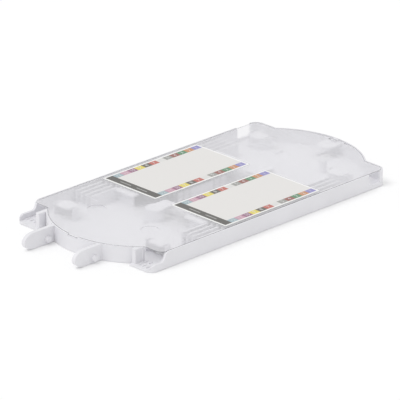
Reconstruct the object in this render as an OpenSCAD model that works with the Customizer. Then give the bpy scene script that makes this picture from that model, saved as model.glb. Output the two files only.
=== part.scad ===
// Fibre splice tray: a moulded tray with a clear hinged cover, two index cards
// on the cover and two splice holders inside. Millimetres, +Z up. The origin is
// on the underside, midway between the centres of the two end arcs.

/* [Tray] */
// Distance between the centres of the two end arcs
arc_spacing = 138; // [134:1:150]
// Outer radius of the two end arcs
end_radius = 76; // [75:0.5:82]
// Width across the two side walls
body_width = 146; // [144:0.5:149]
// Height of the rim above the underside
rim_height = 13.2; // [12.4:0.1:16]
// Thickness of the floor
floor_t = 1.6; // [1.2:0.1:2.2]
// Thickness of the outer wall below the cover
wall_t = 2.2; // [2:0.1:2.6]
// Thickness of the lip that stands around the cover
lip_t = 1.1; // [0.8:0.1:1.4]
// Thickness of the inner walls, guides and fins
rib_t = 1.3; // [1:0.1:1.6]

/* [Cable ports] */
// Distance from the end arc's centre to the flat end of the rim over the cable ports
port_face_out = 52.4; // [49:0.2:56]
// Length of the front platform beyond that flat end
platform_l = 10.8; // [10:0.2:16]
// Extra length of the rear port, its platform and its inner wall
rear_port_extra = 4.2; // [0:0.2:6]
// Distance from the centre line to the inner wall of a cable port
jamb_y = 49.5; // [48:0.25:51]
// Thickness of that wall
jamb_t = 4; // [3:0.2:4.4]
// Distance from a platform's end back to the end of that wall
jamb_setback = 2.4; // [0:0.2:4]
// Height of the low wall along a platform
port_lip_h = 5.8; // [4:0.2:8]
// Length over which the side wall sweeps down to the low wall
sweep_l = 8.6; // [7.6:0.2:11]
// Radius of a platform's outer corner
port_corner_r = 6; // [3:0.5:8]

/* [Ears] */
// Distance from the end arc's centre to the end of the square ears
ear_out = 57; // [54:0.5:62]
// Radius of an ear's outer corner
ear_corner_r = 8; // [5:0.5:10]
// Length of the side port in the front ear
ear_port_l = 12.5; // [8:0.5:15]
// Extra length of the side port in the rear ear
rear_ear_port_extra = 3; // [0:0.5:5]
// Height of the sill under that port
ear_sill_h = 3.4; // [2.4:0.2:6]

/* [Hinge fingers] */
// Length of the rear finger beyond the end of the tray
finger_l = 26.5; // [22:0.5:34]
// How much shorter the front finger is
front_finger_short = 4; // [0:0.5:8]
// Length of a finger's round nose
finger_nose_l = 10; // [7:0.5:12]
// Thickness of a finger
finger_t = 3.4; // [2.6:0.2:5]
// Distance between the two fingers
finger_spacing = 51.7; // [44:0.1:56]
// Sideways shift of the pair of fingers from the centre line
finger_shift = 0.6; // [-2:0.1:2]
// Radius of the hinge pins on the fingers
pin_r = 2.4; // [2:0.1:3]
// Length of a hinge pin
pin_l = 3; // [2:0.5:5]
// Distance from the end of the tray to the hinge pins' axis
pin_out = 3.5; // [3:0.5:10]
// Height of the hinge pins' axis
pin_z = 4.4; // [3.4:0.2:8]

/* [Cover] */
// Thickness of the clear cover
cover_t = 1.2; // [1:0.1:1.6]
// Gap between the cover and the lip around it
cover_gap = 0.5; // [0.25:0.05:0.6]
// Radius of the cover's corners over the cable ports
cover_corner_r = 5; // [2:0.5:7]
// Width of the finger tab that lifts the cover
cover_tab_w = 10.4; // [8:0.4:16]
// Radius of the cover's hinge rod
rod_r = 0.8; // [0.6:0.05:1]
// Radial clearance of that rod in its hook
rod_clear = 0.06; // [0.03:0.01:0.1]
// Width of the hook that holds the rod
hook_w = 5.2; // [4:0.2:7]
// Clearance between the cover and the hook's sides
hook_clear = 1.2; // [0.8:0.1:2]
// Radius of the two round dimples for pressing the cover down
dimple_r = 7.4; // [5:0.2:9]
// Depth of a dimple
dimple_d = 0.35; // [0.2:0.05:0.5]

/* [Index cards] */
// Length of a card
card_l = 103; // [90:1:104]
// Distance from a card's outer edge to the side of the tray
card_edge = 4.7; // [4:0.1:12]
// Thickness of a card
card_t = 0.25; // [0.2:0.05:0.4]
// Distance between the two cards
card_gap = 17.6; // [16:0.2:20]

/* [Splice holders] */
// Distance from the origin to the middle of the splice area, along the tray
bank_x = 2.6; // [0:0.2:5]
// Number of splices in each holder
splices = 12; // [8:1:12]
// Gap between a holder and the side wall, for the fibre that runs past it
holder_side_gap = 4.9; // [4:0.1:7]
// Thickness of a holder's blades
blade_t = 1.1; // [0.8:0.1:1.4]
// Length of a comb block
comb_l = 12; // [8:0.5:13]
// Distance between the middles of the two comb blocks
comb_spacing = 40; // [34:0.5:44]
// Height of a holder above the floor
holder_h = 9; // [7:0.2:9.4]
// Thickness of a holder's base plate
holder_base_t = 1.2; // [0.8:0.1:1.6]
// Clearance between a holder and the ribs that locate it
holder_clear = 0.3; // [0.2:0.05:0.5]

/* [Fibre guides] */
// Half the length of the splice area, between its two entry walls
bank_half_l = 54; // [51:0.5:55]
// Half the width of the channel between the two holders
channel_half = 9; // [8.6:0.2:10]
// Number of tube fins in each row
fins = 4; // [3:1:4]
// Distance between neighbouring tube fins
fin_pitch = 5.7; // [5.4:0.1:6]
// Thickness of the tube fins
fin_t = 1.8; // [1:0.1:2]
// Length of the tube fins
fin_l = 28; // [20:1:29]
// Distance from the middle of the splice area to the tube fins
fin_x0 = 53; // [52:0.5:56]
// Clear gap between a fin or guide and the cover
guide_clear = 0.5; // [0.3:0.1:1]
// Distance from the middle of the splice area to the middle of a corner guide
corner_guide_x = 109.4; // [106:0.2:110]
// Distance from a side wall to the middle of a corner guide
corner_guide_in = 21.5; // [20:0.5:24]
// How much nearer the splice area the front right corner guide stands
near_guide_back = 11; // [0:0.5:12]
// How much further from its side wall that guide stands
near_guide_in = 3.5; // [0:0.5:6]
// Outer radius of a corner guide
corner_guide_r = 11.6; // [10:0.2:12.4]
// Distance from the middle of the splice area to the middle of a channel nose
nose_x = 60; // [58:0.5:62]
// Outer radius of a channel nose
nose_r = 7.8; // [7:0.2:8.4]
// Length of the tab that holds the fibre down in the central channel
nose_tab_l = 17; // [14:0.5:18]
// Thickness of the tabs that hold the fibre down
tab_t = 1.2; // [1:0.1:1.6]

/* [Hidden] */
$fn = 72;

eps = 0.01;
arc_x = arc_spacing / 2;
half_w = body_width / 2;
tray_end_x = arc_x + end_radius;
ledge_z = rim_height - cover_t;
guide_z = ledge_z - guide_clear;
guide_h = guide_z - floor_t;
card_w = half_w - card_edge - card_gap / 2;

port_face_x = arc_x + port_face_out;
ear_x = arc_x + ear_out;
port_open_y = jamb_y + jamb_t;
jamb_corner_r = 0.8;
// Where a low wall's top slopes down at its end
lip_end_l = 5;
lip_end_drop = 2;
grip_pitch = 4.2;
grip_l = 3.2;
grip_h = 0.8;
grip_y0 = port_open_y + 2.2;
grip_rows = floor((half_w - wall_t - 1.6 - grip_y0) / grip_pitch);

pin_x = tray_end_x + pin_out;

cover_inset = lip_t + cover_gap;
hinge_x = tray_end_x - lip_t - 2.3;
hinge_z = rim_height - rod_r;
hook_r = rod_r + rod_clear + 1;
notch_half_w = hook_w / 2 + hook_clear;
// The cover's tongue ends this far beyond the hinge axis, and swings past the ledge
hinge_trim = 0.75;
hinge_swing = norm([hinge_trim, rod_r]) + 0.2;
tongue_half_w = sqrt(pow(end_radius - lip_t, 2) - pow(hinge_x + hinge_swing - arc_x, 2));
hinge_relief_z = hinge_z - hinge_swing - 0.1;
// Beside the tongue the cover ends this far before the axis, so it clears the lip
hinge_setback = 1.5;
finger_notch_half_w = cover_tab_w / 2 + cover_gap;
dimple_x = arc_x + 25.5;
dimple_spacing = 59;
dimple_shift = -3;

holder_l = comb_spacing + comb_l + 8;
holder_y = channel_half + 0.6;
holder_w = half_w - wall_t - holder_side_gap - holder_y;
splice_pitch = (holder_w - blade_t) / splices;
seat_rib_h = 1.6;
seat_rib_l = 8;
seat_rib_t = 1;

fin_side_gap = 5.4;
fin_y0 = half_w - fin_side_gap - (fins - 1) * fin_pitch;
post_l = 2.4;
entry_y0 = 31;
entry_y1 = min(49, fin_y0 - 1.5);
entry_lip_l = 7;
entry_lip_over = 3;
corner_guide_y = half_w - corner_guide_in;
corner_tab_l = 12.5;
corner_tab_w = 15;
corner_window_gap = 3;
nose_tab_w = 12;
nose_window_l = 8;
nose_window_w = 12;
post_x = arc_x + 33.8;
post_y = -25.6;
slot_x = arc_x + 36;
slot_y = 29;
end_tab_l = 17;
end_tab_w = 15;
end_tab_r = 6;
end_tab_z = min(guide_z, hinge_relief_z);
window_gap = 1.2;
// Half the angle of the gap in a channel nose
nose_gap_angle = 20;

// ---------- outline of the tray ----------

// What a corner of radius r leaves outside, with the arc's centre at the origin
module corner_waste(r) {
    difference() {
        square(r + 1);
        circle(r);
    }
}

// Outline of the tray, moved inwards by inset; port_r rounds the corners at the ports
module tray_outline(inset, port_r = 0) {
    half = half_w - inset;
    ear_r = ear_corner_r - inset;
    left = -port_face_x + inset;
    right = ear_x - inset;
    intersection() {
        square([2 * tray_end_x, 2 * half], center = true);
        union() {
            for (side = [-1, 1])
                translate([side * arc_x, 0])
                    circle(end_radius - inset, $fn = 180);
            difference() {
                translate([left, -half])
                    square([right - left, 2 * half]);
                for (m = [0, 1])
                    mirror([0, m, 0]) {
                        translate([right - ear_r, half - ear_r])
                            corner_waste(ear_r);
                        if (port_r > 0)
                            translate([left + port_r, half - port_r])
                                rotate(90)
                                    corner_waste(port_r);
                    }
            }
        }
    }
}

// Floor plan of one port's platform of length l, on the rear side
module port_plan(l) {
    tip_x = port_face_x + l;
    difference() {
        translate([-tip_x, jamb_y])
            square([l + wall_t, half_w - jamb_y]);
        translate([-tip_x + port_corner_r, half_w - port_corner_r])
            rotate(90)
                corner_waste(port_corner_r);
    }
}

// Puts the children on the rear side and, mirrored, on the front side
module both_sides() {
    for (m = [0, 1])
        mirror([0, m, 0])
            children();
}

// Puts the children at the right and, mirrored, at the left end of the tray
module both_ends() {
    for (m = [0, 1])
        mirror([m, 0, 0])
            children();
}

// ---------- tray base ----------

// Side view of the side wall of a port of length l: rim height, an S-shaped sweep,
// then a low wall that slopes down at its end
module sweep_profile(l) {
    top_x = -port_face_x + sweep_l;
    low_x = -port_face_x;
    tip_x = port_face_x + l;
    drop = rim_height - port_lip_h;
    mid_x = low_x + sweep_l / 2;
    mid_z = port_lip_h + drop / 2;
    r = (pow(sweep_l, 2) + pow(drop, 2)) / (4 * drop);
    polygon([[-tip_x, 0], [-tip_x, port_lip_h - lip_end_drop],
             [-tip_x + lip_end_l, port_lip_h], [top_x, port_lip_h], [top_x, 0]]);
    difference() {
        translate([low_x, port_lip_h - eps])
            square([mid_x - low_x + eps, drop / 2]);
        translate([low_x, port_lip_h + r])
            circle(r);
    }
    translate([mid_x, port_lip_h - eps])
        square([top_x - mid_x + eps, drop / 2 + eps]);
    intersection() {
        translate([mid_x, mid_z - eps])
            square([top_x - mid_x + eps, drop / 2 + eps]);
        translate([top_x, rim_height - r])
            circle(r);
    }
    translate([top_x, 0])
        square([2, rim_height]);
}

// One cable port on the rear side, with a platform of length l, a low side wall,
// an inner wall and grip ribs
module cable_port(l) {
    jamb_x = port_face_x + l - jamb_setback;
    linear_extrude(floor_t)
        port_plan(l);
    // side wall that sweeps down from the rim to the low wall
    intersection() {
        translate([0, half_w, 0])
            rotate([90, 0, 0])
                linear_extrude(wall_t)
                    sweep_profile(l);
        union() {
            linear_extrude(rim_height)
                port_plan(l);
            translate([-port_face_x, half_w - wall_t - eps, 0])
                cube([sweep_l + 2 + eps, wall_t + 2 * eps, rim_height]);
        }
    }
    // inner wall of the port, which runs into the end arc
    linear_extrude(rim_height)
        difference() {
            translate([-jamb_x, jamb_y])
                square([jamb_x - port_face_x, jamb_t]);
            for (y = [0, 1])
                translate([-jamb_x + jamb_corner_r, jamb_y + jamb_t / 2])
                    mirror([0, y])
                        translate([0, jamb_t / 2 - jamb_corner_r])
                            rotate(90)
                                corner_waste(jamb_corner_r);
        }
    // grip ribs for the cable tie, in two columns
    for (column = [0, 1], row = [0 : grip_rows])
        translate([-port_face_x - 0.8 - column * 7.4, grip_y0 + row * grip_pitch, floor_t - eps])
            cube([grip_l, 1.1, grip_h]);
}

// What the cable port removes from the rim on the rear side
module cable_port_opening() {
    side_y = half_w - wall_t;
    // mouth of the port
    translate([-port_face_x - 1, port_open_y, floor_t])
        cube([1 + wall_t + 0.4, side_y - port_open_y, rim_height]);
    // room for the sweep in the side wall
    translate([-port_face_x - 1, side_y - eps, floor_t])
        cube([sweep_l + 1, wall_t + 1, rim_height]);
}

// Opening of length l through the side wall of an ear, on the rear side, with a round
// lower corner
module ear_port_opening(l) {
    corner_r = 2.6;
    x1 = ear_x - ear_corner_r;
    x0 = x1 - l;
    translate([0, half_w + 1, 0])
        rotate([90, 0, 0])
            linear_extrude(wall_t + 2)
                difference() {
                    translate([x0, ear_sill_h])
                        square([l, rim_height]);
                    translate([x0 + corner_r, ear_sill_h + corner_r])
                        rotate(180)
                            corner_waste(corner_r);
                }
}

// One hinge finger of length l: an upright plate with a round nose, which runs into
// the end arc
module hinge_finger(l) {
    nose_x0 = tray_end_x + l - finger_nose_l;
    translate([0, finger_t / 2, 0])
        rotate([90, 0, 0])
            linear_extrude(finger_t) {
                translate([-nose_x0, 0])
                    square([nose_x0 - tray_end_x + end_radius / 4, rim_height]);
                translate([-nose_x0, rim_height / 2])
                    scale([finger_nose_l * 2 / rim_height, 1])
                        circle(d = rim_height);
            }
}

module hinge_pin() {
    translate([-pin_x, -finger_t / 2 - pin_l, pin_z])
        rotate([-90, 0, 0])
            cylinder(h = pin_l + finger_t / 2, r = pin_r);
}

// The outer form: rim, ports and hinge fingers round one hollow, with the cover's ledge
module shell() {
    difference() {
        union() {
            difference() {
                linear_extrude(rim_height)
                    tray_outline(0);
                both_sides()
                    cable_port_opening();
                ear_port_opening(ear_port_l + rear_ear_port_extra);
                mirror([0, 1, 0])
                    ear_port_opening(ear_port_l);
            }
            cable_port(platform_l + rear_port_extra);
            mirror([0, 1, 0])
                cable_port(platform_l);
            translate([0, finger_shift + finger_spacing / 2, 0])
                hinge_finger(finger_l);
            translate([0, finger_shift - finger_spacing / 2, 0])
                hinge_finger(finger_l - front_finger_short);
        }
        translate([0, 0, floor_t])
            linear_extrude(rim_height)
                tray_outline(wall_t);
        translate([0, 0, ledge_z])
            linear_extrude(rim_height)
                tray_outline(lip_t);
    }
}

// Row of tube fins with round ends and of short posts before them, on the rear side
module tube_fins() {
    for (i = [0 : fins - 1])
        translate([fin_x0, fin_y0 + i * fin_pitch, floor_t - eps]) {
            translate([0, -fin_t / 2, 0])
                cube([fin_l - fin_t / 2, fin_t, guide_h + eps]);
            translate([fin_l - fin_t / 2, 0, 0])
                cylinder(h = guide_h + eps, d = fin_t, $fn = 24);
        }
    for (i = [0 : fins - 2])
        translate([fin_x0 - 1.2 - post_l, fin_y0 + (i + 0.5) * fin_pitch - fin_t / 2, floor_t - eps])
            cube([post_l, fin_t, guide_h + eps]);
}

// Plan of a tab: a rectangle along +x, with round corners at its tip, x = 0
module tab_plan(l, w, r) {
    translate([r, 0])
        square([l - r, w]);
    translate([0, r])
        square([r + eps, w - 2 * r]);
    for (y = [r, w - r])
        translate([r, y])
            circle(r, $fn = 32);
}

// Puts the children in the middle of each corner guide, facing its end of the tray
module at_corner_guides() {
    for (left = [0, 1], front = [0, 1]) {
        moved = front == 1 && left == 0 ? 1 : 0;
        mirror([left, 0, 0])
            mirror([0, front, 0])
                translate([corner_guide_x - moved * near_guide_back,
                           corner_guide_y - moved * near_guide_in, 0])
                    children();
    }
}

// C-shaped guide in a corner of the tray, open towards the end, with a tab in it
module corner_guide() {
    r = corner_guide_r;
    tip_x = corner_tab_l - r + rib_t / 2;
    translate([0, 0, floor_t - eps]) {
        linear_extrude(guide_h + eps)
            difference() {
                circle(r);
                circle(r - rib_t);
                translate([0, -r - 1])
                    square([r + 1, 2 * r + 2]);
            }
        translate([0, 0, guide_h - tab_t + eps])
            linear_extrude(tab_t)
                intersection() {
                    circle(r - rib_t / 2);
                    translate([tip_x, -corner_tab_w / 2])
                        mirror([1, 0, 0])
                            tab_plan(corner_tab_l, corner_tab_w, 3);
                }
    }
}

// Floor window under the tab of a corner guide
module corner_window() {
    r = corner_guide_r - rib_t - window_gap / 2;
    translate([0, 0, -1])
        linear_extrude(floor_t + 2)
            intersection() {
                circle(r);
                translate([-r, -r])
                    square([r - corner_window_gap, 2 * r]);
            }
}

// Round nose at the end of the central channel: an almost closed ring with a flat
// cap, and a tab that reaches from the cap over the channel
module channel_nose() {
    translate([nose_x, 0, floor_t - eps]) {
        linear_extrude(guide_h + eps)
            difference() {
                circle(nose_r);
                circle(nose_r - rib_t);
                polygon([[0, 0],
                         [-2 * nose_r, -2 * nose_r * tan(nose_gap_angle)],
                         [-2 * nose_r, 2 * nose_r * tan(nose_gap_angle)]]);
            }
        translate([0, 0, guide_h - tab_t + eps])
            linear_extrude(tab_t) {
                circle(nose_r);
                translate([-nose_tab_l, -nose_tab_w / 2])
                    tab_plan(nose_tab_l, nose_tab_w, 3);
            }
    }
}

// Floor window under that tab
module channel_window() {
    translate([nose_x - nose_r - 0.8 - nose_window_l, -nose_window_w / 2, -1])
        cube([nose_window_l, nose_window_w, floor_t + 2]);
}

// Wall at the entry of the splice area with a lip over the fibre, on the rear side
module entry_wall() {
    l = entry_y1 - entry_y0;
    translate([bank_half_l - rib_t, entry_y0, floor_t - eps])
        cube([rib_t, l, guide_h + eps]);
    translate([bank_half_l + entry_lip_l / 2, entry_y0 - entry_lip_over, guide_z - tab_t])
        mirror([1, 0, 0])
            linear_extrude(tab_t)
                tab_plan(entry_lip_l, l + entry_lip_over, 2);
}

// Corner ribs that locate a splice holder on the floor, on the rear side
module holder_seat() {
    x1 = holder_l / 2 + holder_clear;
    y0 = holder_y - holder_clear;
    y1 = holder_y + holder_w + holder_clear;
    translate([0, 0, floor_t - eps]) {
        for (y = [y0, y1 - seat_rib_l])
            translate([x1, y, 0])
                cube([seat_rib_t, seat_rib_l, seat_rib_h]);
        translate([x1 - seat_rib_l, y1, 0])
            cube([seat_rib_l + seat_rib_t, seat_rib_t, seat_rib_h]);
    }
}

// What guides the fibre into the right end of the splice area
module splice_area() {
    both_sides() {
        tube_fins();
        entry_wall();
        holder_seat();
    }
    channel_nose();
}

// Tab over the fibre at the middle of the right end wall
module end_tab() {
    translate([tray_end_x - wall_t - end_tab_l, -end_tab_w / 2, end_tab_z - tab_t])
        linear_extrude(tab_t)
            tab_plan(end_tab_l + wall_t / 2, end_tab_w, end_tab_r);
}

// Hook on that tab, open at the top, which the cover's hinge rod snaps into
module hinge_hook() {
    foot_z = end_tab_z - tab_t / 2;
    translate([hinge_x - hook_r, -hook_w / 2, foot_z])
        cube([tray_end_x - lip_t / 2 - hinge_x + hook_r, hook_w, hinge_z + rod_r * 0.55 - foot_z]);
}

module end_window() {
    l = end_tab_l * 0.7;
    w = end_tab_w - 2 * window_gap;
    translate([tray_end_x - wall_t - end_tab_l + window_gap, -w / 2, -1])
        cube([l, w, floor_t + 2]);
}

// Room for the cover's hinge rod, and for the cover's edge to swing past the ledge
module hinge_cuts() {
    translate([hinge_x, 0, hinge_z])
        rotate([90, 0, 0])
            cylinder(h = hook_w + 1, r = rod_r + rod_clear, center = true);
    translate([0, 0, hinge_relief_z])
        linear_extrude(rim_height)
            intersection() {
                tray_outline(lip_t);
                for (m = [0, 1])
                    mirror([0, m])
                        translate([hinge_x - hinge_swing, hook_w / 2])
                            square([6, tongue_half_w + 0.6 - hook_w / 2]);
            }
}

// Notch in the rim for the cover's finger tab
module finger_notch() {
    translate([-tray_end_x - 1, -finger_notch_half_w, ledge_z])
        cube([wall_t + 4, 2 * finger_notch_half_w, rim_height]);
}

// Upright post of L-shaped plan in the right loop area
module loop_post() {
    t = 1.4;
    translate([post_x, post_y, floor_t - eps])
        linear_extrude(guide_h + eps) {
            square([t, 5.2]);
            square([4, t]);
        }
}

// Slots in the floor of the two loop areas
module loop_slots() {
    translate([slot_x, slot_y, -1])
        cube([9.5, 2.6, floor_t + 2]);
    translate([bank_x - nose_x - nose_r - 4.4, -2, -1])
        cube([3.8, 4, floor_t + 2]);
}

module tray_base() {
    color([0.87, 0.87, 0.9])
        difference() {
            union() {
                shell();
                translate([bank_x, 0, 0]) {
                    both_ends()
                        splice_area();
                    at_corner_guides()
                        corner_guide();
                }
                for (side = [-1, 1])
                    translate([0, side * finger_spacing / 2 + finger_shift, 0])
                        hinge_pin();
                end_tab();
                hinge_hook();
                loop_post();
            }
            translate([bank_x, 0, 0]) {
                at_corner_guides()
                    corner_window();
                both_ends()
                    channel_window();
            }
            end_window();
            hinge_cuts();
            finger_notch();
            loop_slots();
        }
}

// ---------- cover ----------

module cover_plan() {
    difference() {
        union() {
            tray_outline(cover_inset, cover_corner_r);
            // finger tab, out to the outer face of the tray
            intersection() {
                translate([-tray_end_x, -cover_tab_w / 2])
                    square([wall_t + 4, cover_tab_w]);
                translate([-arc_x, 0])
                    circle(end_radius - 0.1, $fn = 180);
            }
        }
        translate([hinge_x + hinge_trim, -half_w])
            square([10, body_width]);
        for (m = [0, 1])
            mirror([0, m])
                translate([hinge_x - hinge_setback, tongue_half_w])
                    square([10, half_w]);
        translate([hinge_x - hook_r - hook_clear, -notch_half_w])
            square([10, 2 * notch_half_w]);
    }
}

module clear_cover() {
    color([0.93, 0.95, 0.97, 0.3])
        difference() {
            union() {
                translate([0, 0, ledge_z])
                    linear_extrude(cover_t)
                        cover_plan();
                translate([hinge_x, 0, hinge_z])
                    rotate([90, 0, 0])
                        cylinder(h = 2 * notch_half_w + 2, r = rod_r, center = true);
            }
            for (side = [-1, 1])
                translate([-dimple_x, side * dimple_spacing / 2 + dimple_shift, rim_height - dimple_d])
                    cylinder(h = 1, r = dimple_r);
        }
}

// ---------- index cards ----------

module index_card() {
    r = 1;
    translate([bank_x - card_l / 2, card_gap / 2, rim_height])
        linear_extrude(card_t)
            difference() {
                square([card_l, card_w]);
                for (x = [0, 1], y = [0, 1])
                    translate([x * card_l, y * card_w])
                        mirror([x, 0, 0])
                            mirror([0, y, 0])
                                translate([r, r])
                                    rotate(180)
                                        corner_waste(r);
            }
}

module index_card_rear() {
    color([0.9, 0.9, 0.88])
        index_card();
}

module index_card_front() {
    color([0.9, 0.9, 0.88])
        mirror([0, 1, 0])
            index_card();
}

// ---------- splice holders ----------

// Section of a blade: a thin foot, a waist that springs and a barbed tip
module blade_section() {
    w = blade_t / 2;
    tip = holder_h - holder_base_t;
    barb = 0.35;
    polygon([[-w, 0], [w, 0], [w, tip * 0.68], [w + barb, tip * 0.8], [w + barb, tip * 0.86],
             [w * 0.4, tip], [-w * 0.4, tip], [-w - barb, tip * 0.86], [-w - barb, tip * 0.8],
             [-w, tip * 0.68]]);
}

// One rank of blades across the holder, of length l along the splices
module blade_rank(l) {
    for (i = [0 : splices])
        translate([-l / 2, i * splice_pitch, 0])
            rotate([90, 0, 90])
                linear_extrude(l)
                    blade_section();
}

module splice_holder() {
    blade_l = (comb_l - 1.6) / 2;
    side_l = comb_spacing - comb_l - 3;
    translate([bank_x, holder_y, floor_t]) {
        difference() {
            translate([-holder_l / 2, 0, 0])
                cube([holder_l, holder_w, holder_base_t]);
            // relief windows between the comb blocks
            for (i = [0 : splices / 2 - 1])
                translate([-side_l / 2, i * 2 * splice_pitch + blade_t / 2 + 2, -1])
                    cube([side_l, 2 * splice_pitch - 4, holder_base_t + 2]);
        }
        for (side = [-1, 1], rank = [-1, 1])
            translate([(side * comb_spacing + rank * (blade_l + 1.6)) / 2, blade_t / 2, holder_base_t - eps])
                blade_rank(blade_l);
        // plain walls along both long sides, between the comb blocks
        for (y = [0, holder_w - blade_t])
            translate([-side_l / 2, y, holder_base_t - eps])
                cube([side_l, blade_t, holder_h - holder_base_t]);
    }
}

module splice_holder_rear() {
    color([0.84, 0.84, 0.88])
        splice_holder();
}

module splice_holder_front() {
    color([0.84, 0.84, 0.88])
        mirror([0, 1, 0])
            splice_holder();
}

tray_base();
clear_cover();
index_card_front();
index_card_rear();
splice_holder_front();
splice_holder_rear();
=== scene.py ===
import math

import bpy
import bmesh
from mathutils import Matrix, Vector


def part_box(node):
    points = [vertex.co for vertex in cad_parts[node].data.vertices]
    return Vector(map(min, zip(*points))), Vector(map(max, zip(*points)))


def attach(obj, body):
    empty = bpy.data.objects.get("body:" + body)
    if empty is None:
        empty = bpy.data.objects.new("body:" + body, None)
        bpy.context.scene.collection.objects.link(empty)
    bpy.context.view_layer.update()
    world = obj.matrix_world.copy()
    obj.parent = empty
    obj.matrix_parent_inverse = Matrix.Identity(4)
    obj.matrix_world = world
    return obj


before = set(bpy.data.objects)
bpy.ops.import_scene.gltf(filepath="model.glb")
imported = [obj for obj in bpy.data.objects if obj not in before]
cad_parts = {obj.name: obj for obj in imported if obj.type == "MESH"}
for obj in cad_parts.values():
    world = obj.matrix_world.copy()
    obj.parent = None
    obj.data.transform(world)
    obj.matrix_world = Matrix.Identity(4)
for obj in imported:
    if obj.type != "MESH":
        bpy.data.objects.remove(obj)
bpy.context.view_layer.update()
mm = 0.001


class Value:  # one shader value; arithmetic on it adds Math or Vector Math nodes
    def __init__(self, nodes, socket):
        self.nodes = nodes
        self.socket = socket

    def maths(self, operation, first, second=None):
        many = self.socket.type != "VALUE"  # a colour or a vector, not a single number
        kind = "ShaderNodeVectorMath" if many else "ShaderNodeMath"
        inputs = {0: first}
        if second is not None:
            inputs[1] = second
        return self.nodes.node(kind, {"operation": operation}, inputs)

    def __add__(self, other):
        return self.maths("ADD", self, other)

    __radd__ = __add__

    def __rsub__(self, other):
        return self.maths("SUBTRACT", other, self)

    def __mul__(self, other):
        return self.maths("MULTIPLY", self, other)

    __rmul__ = __mul__

    def __gt__(self, other):
        return self.maths("GREATER_THAN", self, other)

    def __lt__(self, other):
        return self.maths("LESS_THAN", self, other)

    def __abs__(self):
        return self.maths("ABSOLUTE", self)

    def between(self, low, high):  # 1 inside the range, 0 outside
        return (self > low) * (self < high)

    def ramp(self, low, high):  # 0 at low, 1 at high, smooth between
        settings = {"interpolation_type": "SMOOTHSTEP"}
        return self.nodes.node("ShaderNodeMapRange", settings, {0: self, 1: low, 2: high})

    def axis(self, letter):  # X, Y or Z of a vector
        return self.nodes.node("ShaderNodeSeparateXYZ", {}, {0: self}, letter)


class Nodes:  # a node tree that is built by expressions
    def __init__(self, tree):
        self.tree = tree
        tree.nodes.clear()

    def feed(self, target, socket, value):
        if isinstance(value, Value):
            self.tree.links.new(value.socket, target.inputs[socket])
        elif isinstance(value, tuple) and len(value) < len(target.inputs[socket].default_value):
            target.inputs[socket].default_value = (*value, 1)
        else:
            target.inputs[socket].default_value = value

    def make(self, kind, settings, inputs):
        made = self.tree.nodes.new(kind)
        for name, value in settings.items():
            setattr(made, name, value)
        for socket, value in inputs.items():
            self.feed(made, socket, value)
        return made

    def node(self, kind, settings, inputs, result=0):
        return Value(self, self.make(kind, settings, inputs).outputs[result])

    def mix(self, mask, first, second):  # colour first where mask is 0, second where it is 1
        settings = {"data_type": "RGBA", "clamp_factor": True}
        return self.node("ShaderNodeMix", settings, {0: mask, 6: first, 7: second}, 2)


class Finish(Nodes):  # a material with one Principled shader
    def __init__(self, name, **constants):
        self.material = bpy.data.materials.new(name)
        self.material.use_nodes = True
        super().__init__(self.material.node_tree)
        inputs = {socket.replace("_", " "): value for socket, value in constants.items()}
        self.shader = self.make("ShaderNodeBsdfPrincipled", {}, inputs)
        self.make("ShaderNodeOutputMaterial", {}, {"Surface": Value(self, self.shader.outputs[0])})
        place = self.node("ShaderNodeTexCoord", {}, {}, "Object")
        self.place = place * (1 / mm, 1 / mm, 1 / mm)  # part coordinates in mm
        self.x, self.y, self.z = [self.place.axis(letter) for letter in "XYZ"]
        self.normal = self.node("ShaderNodeTexCoord", {}, {}, "Normal")  # turns with the piece

    def noise(self, size, detail=2.0, stretch=(1, 1, 1)):  # size of a lump in mm
        scale = tuple(s / size for s in stretch)
        inputs = {"Vector": self.place * scale, "Scale": 1, "Detail": detail}
        return self.node("ShaderNodeTexNoise", {}, inputs, "Fac")

    def bump(self, height, distance, strength):  # distance in mm
        inputs = {"Height": height, "Distance": distance * mm, "Strength": strength}
        self.set("Normal", self.node("ShaderNodeBump", {}, inputs, "Normal"))

    def set(self, socket, value):
        self.feed(self.shader, socket, value)


def shade(colour, *factors):  # one factor for all three channels, or one for each
    if len(factors) == 1:
        factors *= 3
    return tuple(channel * factor for channel, factor in zip(colour, factors))


def paint(node, finish):
    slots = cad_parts[node].data.materials
    if not len(slots):
        slots.append(finish.material)
    for i in range(len(slots)):
        slots[i] = finish.material


view = {
    "target": (-3.02 * mm, 6.24 * mm, 0),
    "distance": 3.4093,
    "azimuth": 44.40,
    "elevation": 22.32,
    "lens": 391.9,
    "sensor": 36,
    "clip": (0.05, 60),
}


def placeCamera():
    az, el = math.radians(view["azimuth"]), math.radians(view["elevation"])
    away = Vector((-math.sin(az) * math.cos(el), -math.cos(az) * math.cos(el), math.sin(el)))
    data = bpy.data.cameras.new("camera")
    data.lens = view["lens"]
    data.sensor_width = view["sensor"]
    data.clip_start, data.clip_end = view["clip"]
    camera = bpy.data.objects.new("camera", data)
    camera.location = Vector(view["target"]) + away * view["distance"]
    camera.rotation_euler = away.to_track_quat("Z", "Y").to_euler()
    bpy.context.scene.collection.objects.link(camera)
    bpy.context.scene.camera = camera


placeCamera()
print("camera placed")

trayLook = {
    "colour": (0.85, 0.845, 0.875),
    "roughness": 0.42,
    "grain": 0.03,  # height of the moulded texture, mm
    "tintAmount": 0.035,  # how much darker the clouds in the plastic are
}
mouldedTexture = {
    "cloudSize": 38,  # mm
    "flowSize": 14,  # mm
    "flowStretch": (1, 0.25, 1),
    "grainSize": 0.35,  # mm
    "grainStrength": 0.35,
}


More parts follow.
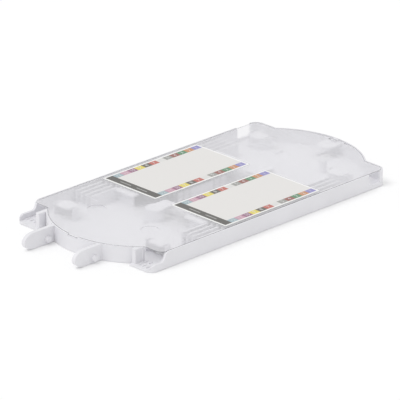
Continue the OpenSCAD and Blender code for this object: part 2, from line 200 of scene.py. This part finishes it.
def trayFinish(name, look):
    f = Finish(name, IOR=1.5)
    cloud = f.noise(mouldedTexture["cloudSize"], 3)
    flow = f.noise(mouldedTexture["flowSize"], 2, mouldedTexture["flowStretch"])
    grain = f.noise(mouldedTexture["grainSize"], 2)
    darker = shade(look["colour"], 1 - look["tintAmount"])
    f.set("Base Color", f.mix(cloud.ramp(0.3, 0.7), darker, look["colour"]))
    f.set("Roughness", look["roughness"] + 0.1 * flow + 0.08 * grain)
    f.bump(grain, look["grain"], mouldedTexture["grainStrength"])
    return f


paint("tray_base", trayFinish("trayPlastic", trayLook))
print("tray finished")

holderLook = {"colour": (0.81, 0.79, 0.825), "roughness": 0.38, "grain": 0.02, "tintAmount": 0.05}
holderPlastic = trayFinish("holderPlastic", holderLook)
paint("splice_holder_front", holderPlastic)
paint("splice_holder_rear", holderPlastic)
print("holders finished")

coverLook = {
    "tint": (0.885, 0.88, 0.905),
    "clearness": 0.02,  # how much of the plastic shows where nothing else does
    "haze": 0.07,
    "paintedSheen": 1.95,  # strength of the painted sheen at a grazing view: a pale layer made opaque there stands in for the reflected white surroundings
    "hazeAndSheenDepth": 0.6,  # the haze and painted sheen lie on the outer face only, mm
    "edge": 0.15,
    "seamShadow": (0.03, 0.03, 0.035),  # painted shadow of the seam round the cover, laid as a dark colour on the top of its cut edge
    "seamShadowHeight": 0.24,  # height of the painted seam shadow on the cut edge, mm
    "seamShadowStrength": 0.55,
    "fingerTab": 1.2,  # the tip of the finger tab has no painted seam shadow, over this length in mm
    "dimplesAlong": (-103, -86),  # where the two pressing dimples lie, mm
    "dimplesAcross": (18, 41),
    "dimpleFade": 0.75,  # how far the painted seam shadow fades at the dimples
    "roughness": 0.14,
    "scuffRoughness": 0.2,
    "scuffSize": 3.5,  # mm
    "scuffStretch": (1, 0.12, 1),
    "swirlSize": 45,  # mm
}


def coverFinish():
    f = Finish("clearPlastic", IOR=1.49)
    tint = coverLook["tint"]
    swirl = f.noise(coverLook["swirlSize"], 2)
    upright = 1 - abs(f.normal.axis("Z"))  # 1 on the cut edge, 0 on the flat faces
    low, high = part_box("clear_cover")
    dimples = f.x.between(*coverLook["dimplesAlong"])
    dimples = dimples * abs(f.y).between(*coverLook["dimplesAcross"])
    atTop = f.z > high[2] / mm - coverLook["seamShadowHeight"]
    atTop = atTop * (f.x > low[0] / mm + coverLook["fingerTab"])
    # painted shade: the top of the cut edge is made dark and opaque to stand for the shadow in the
    # seam between cover and rim
    seamShadow = upright * atTop * (1 - coverLook["dimpleFade"] * dimples)
    colour = f.mix(swirl, tint, shade(tint, 0.98, 0.98, 0.99))
    f.set("Base Color", f.mix(seamShadow, colour, coverLook["seamShadow"]))
    scuff = f.noise(coverLook["scuffSize"], 4, coverLook["scuffStretch"]).ramp(0.62, 0.8)
    slant = f.node("ShaderNodeLayerWeight", {}, {"Blend": 0.5}, "Facing")
    outside = f.z > high[2] / mm - coverLook["hazeAndSheenDepth"]
    # painted reflection: the pale base colour shows more at a grazing view, standing in for the
    # sheen of the surroundings; the constant haze is the plastic's own milkiness
    hazeAndSheen = outside * (coverLook["haze"] + coverLook["paintedSheen"] * slant * slant * slant)
    # opacity of the cut edge, plus the painted seam shadow
    edgeAndSeamShadow = coverLook["edge"] * upright + coverLook["seamShadowStrength"] * seamShadow
    f.set("Alpha", coverLook["clearness"] + hazeAndSheen + edgeAndSeamShadow + 0.02 * scuff)
    f.set("Roughness", coverLook["roughness"] + coverLook["scuffRoughness"] * scuff)
    return f


paint("clear_cover", coverFinish())
print("cover finished")

cardLook = {
    "paper": (0.94, 0.94, 0.93),
    "field": (0.81, 0.793, 0.775),
    "bar": (0.10, 0.095, 0.087),
    "border": 1.5,  # plain edge of the card, mm
    "barLength": 7.2,  # dark bar at one end, mm
    "rule": (0.55, 0.55, 0.54),
    "ruleSize": (0.7, 12),  # the two plain rules in the bar, mm
    "ruleOffset": 9,  # from the middle of the bar, mm
    "rowWidth": 6.0,
    "fibreSize": 0.8,  # mm
    "fibre": (0.9, 0.9, 0.88),
    "rows": {
        "aqua": (0.36, 0.47, 0.51),
        "rose": (0.61, 0.36, 0.45),
        "violet": (0.33, 0.14, 0.24),
        "yellow": (0.80, 0.68, 0.13),
        "black": (0.13, 0.115, 0.095),
        "red": (0.55, 0.14, 0.11),
        "white": (0.77, 0.76, 0.74),
        "slate": (0.36, 0.36, 0.34),
        "brown": (0.33, 0.12, 0.10),
        "green": (0.11, 0.28, 0.15),
        "orange": (0.60, 0.28, 0.13),
        "blue": (0.30, 0.28, 0.58),
    },
}


def cardPlaces(node):  # the printed area, in mm: two ends along, two sides across
    low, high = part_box(node)
    edge = cardLook["border"]
    across = sorted((abs(low[1]) / mm, abs(high[1]) / mm))
    return low[0] / mm + edge, high[0] / mm - edge, across[0] + edge, across[1] - edge


def cardFinish():
    f = Finish("indexCard", IOR=1.5)
    x0, x1, y0, y1 = cardPlaces("index_card_rear")
    bar, row = cardLook["barLength"], cardLook["rowWidth"]
    across = abs(f.y)
    printed = f.x.between(x0, x1) * across.between(y0, y1)
    fieldsX = x0 + bar
    step = (x1 - fieldsX) / len(cardLook["rows"])
    colour = f.mix(printed, cardLook["paper"], cardLook["field"])
    inRow = across.between(y0, y0 + row) + across.between(y1 - row, y1)
    for i, patch in enumerate(cardLook["rows"].values()):
        left = fieldsX + i * step
        colour = f.mix(f.x.between(left, left + step) * inRow, colour, patch)
    inBar = f.x.between(x0, fieldsX) * across.between(y0, y1)
    colour = f.mix(inBar, colour, cardLook["bar"])
    middle = (y0 + y1) / 2
    width, length = (size / 2 for size in cardLook["ruleSize"])
    centreX = x0 + bar / 2
    for centre in (middle - cardLook["ruleOffset"], middle + cardLook["ruleOffset"]):
        alongRule = across.between(centre - length, centre + length)  # a plain rule to write on
        rule = f.x.between(centreX - width, centreX + width) * alongRule
        colour = f.mix(rule, colour, cardLook["rule"])
    fibres = f.noise(cardLook["fibreSize"], 4)
    f.set("Base Color", f.mix(0.1 * fibres, colour, cardLook["fibre"]))
    f.set("Roughness", 0.42 + 0.12 * fibres)
    f.bump(fibres, 0.02, 0.3)
    return f


cardPaper = cardFinish()
paint("index_card_front", cardPaper)
paint("index_card_rear", cardPaper)

numeralLook = {
    "height": 3.6,  # mm
    "sizeOverHeight": 1.35,  # letter size of the typeface over the height of a digit
    "lift": 0.03,  # above the card, mm
    "colour": (0.80, 0.80, 0.80),
}


def numeralFinish():
    f = Finish("numeralInk", IOR=1.5)
    speckle = f.noise(0.3, 2)
    colour = numeralLook["colour"]
    f.set("Base Color", f.mix(speckle, colour, shade(colour, 0.93)))
    f.set("Roughness", 0.4 + 0.1 * speckle)
    return f


numeralInk = numeralFinish()


def cardNumerals(node):
    x0, x1, y0, y1 = cardPlaces(node)
    low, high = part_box(node)
    side = 1 if high[1] > 0 else -1
    count = len(cardLook["rows"])
    fieldsX = x0 + cardLook["barLength"]
    step = (x1 - fieldsX) / count
    half = cardLook["rowWidth"] / 2
    merged = bmesh.new()
    for number in range(1, count + 1):
        text = bpy.data.curves.new("numeral", "FONT")
        text.body = str(number)
        text.size = numeralLook["height"] * numeralLook["sizeOverHeight"] * mm
        text.align_x = "CENTER"
        text.align_y = "CENTER"
        text.resolution_u = 3
        holder = bpy.data.objects.new("numeral", text)
        flat = bpy.data.meshes.new_from_object(holder)
        for across in (y0 + half, y1 - half):
            copy = flat.copy()
            along = x1 - (number - 0.5) * step
            place = Vector((along, side * across, high[2] / mm + numeralLook["lift"])) * mm
            copy.transform(Matrix.Translation(place))
            merged.from_mesh(copy)
            bpy.data.meshes.remove(copy)
        bpy.data.objects.remove(holder)
        bpy.data.curves.remove(text)
        bpy.data.meshes.remove(flat)
    mesh = bpy.data.meshes.new(node + "_numerals")
    merged.to_mesh(mesh)
    merged.free()
    mesh.materials.append(numeralInk.material)
    piece = bpy.data.objects.new(node + "_numerals", mesh)
    bpy.context.scene.collection.objects.link(piece)
    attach(piece, "cover")


cardNumerals("index_card_front")
cardNumerals("index_card_rear")

undersideLook = {
    "sink": 0.03,  # depth below the card, mm; the two would flicker if they lay in one plane
    "thin": 0.08,  # thickness as a share of the card's own
    "colour": (0.86, 0.86, 0.85),
}


def undersideFinish():
    f = Finish("bareCard", IOR=1.5)
    fibres = f.noise(cardLook["fibreSize"], 4)
    colour = undersideLook["colour"]
    f.set("Base Color", f.mix(fibres, colour, shade(colour, 0.94, 0.94, 0.93)))
    f.set("Roughness", 0.5 + 0.12 * fibres)
    return f


bareCard = undersideFinish()


def cardUnderside(node):  # the bare paper that shows through the open cover
    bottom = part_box(node)[0][2]
    thin = undersideLook["thin"]
    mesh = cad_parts[node].data.copy()
    drop = Matrix.Translation((0, 0, bottom * (1 - thin) - undersideLook["sink"] * mm))
    mesh.transform(drop @ Matrix.Diagonal((1, 1, thin, 1)))
    mesh.materials.clear()
    mesh.materials.append(bareCard.material)
    piece = bpy.data.objects.new(node + "_underside", mesh)
    bpy.context.scene.collection.objects.link(piece)
    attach(piece, "cover")


cardUnderside("index_card_front")
cardUnderside("index_card_rear")
print("cards printed")

studio = {
    "floorSize": 8,  # m
    "floorDrop": 0.0002,  # m, so that the floor and the tray's underside don't share a plane
    "floorColour": (0.97, 0.97, 0.97),
    "lift": 0.06,  # makes the floor white to look at, without lighting the tray
    "sky": 0.79,
    "key": 0.69,
    "keyAngle": 35,
    "keyFrom": (-0.5, 0.25, 1),
}


def floorFinish():
    f = Finish("paleFloor", Roughness=0.9, Specular_IOR_Level=0.0, Emission_Strength=1)
    cloud = f.noise(900, 2)
    colour = studio["floorColour"]
    f.set("Base Color", f.mix(cloud, colour, shade(colour, 0.995)))
    straight = f.node("ShaderNodeLightPath", {}, {}, "Is Camera Ray")
    f.set("Emission Color", f.mix(straight, (0, 0, 0), (studio["lift"],) * 3))
    return f


def layFloor():
    half = studio["floorSize"] / 2
    mesh = bpy.data.meshes.new("floor")
    corners = [(-half, -half, 0), (half, -half, 0), (half, half, 0), (-half, half, 0)]
    mesh.from_pydata(corners, [], [(0, 1, 2, 3)])
    mesh.materials.append(floorFinish().material)
    floor = bpy.data.objects.new("floor", mesh)
    floor.location.z = -studio["floorDrop"]
    bpy.context.scene.collection.objects.link(floor)


def lightStudio():
    world = bpy.data.worlds.new("studio")
    bpy.context.scene.world = world
    world.use_nodes = True
    sky = Nodes(world.node_tree)
    straight = sky.node("ShaderNodeLightPath", {}, {}, "Is Camera Ray")
    through = sky.node("ShaderNodeLightPath", {}, {}, "Is Transmission Ray")
    white = (1, 1, 1)
    soft = sky.node("ShaderNodeBackground", {}, {"Color": white, "Strength": studio["sky"]})
    plain = sky.node("ShaderNodeBackground", {}, {"Color": white, "Strength": 1})
    seen = straight.maths("MAXIMUM", straight, through)
    blend = sky.node("ShaderNodeMixShader", {}, {0: seen, 1: soft, 2: plain})
    sky.make("ShaderNodeOutputWorld", {}, {"Surface": blend})
    key = bpy.data.lights.new("key", "SUN")
    key.energy = studio["key"]
    key.angle = math.radians(studio["keyAngle"])
    lamp = bpy.data.objects.new("key", key)
    lamp.rotation_euler = Vector(studio["keyFrom"]).to_track_quat("Z", "Y").to_euler()
    bpy.context.scene.collection.objects.link(lamp)


layFloor()
lightStudio()
bpy.context.scene.view_settings.view_transform = "Standard"
print("studio lit")
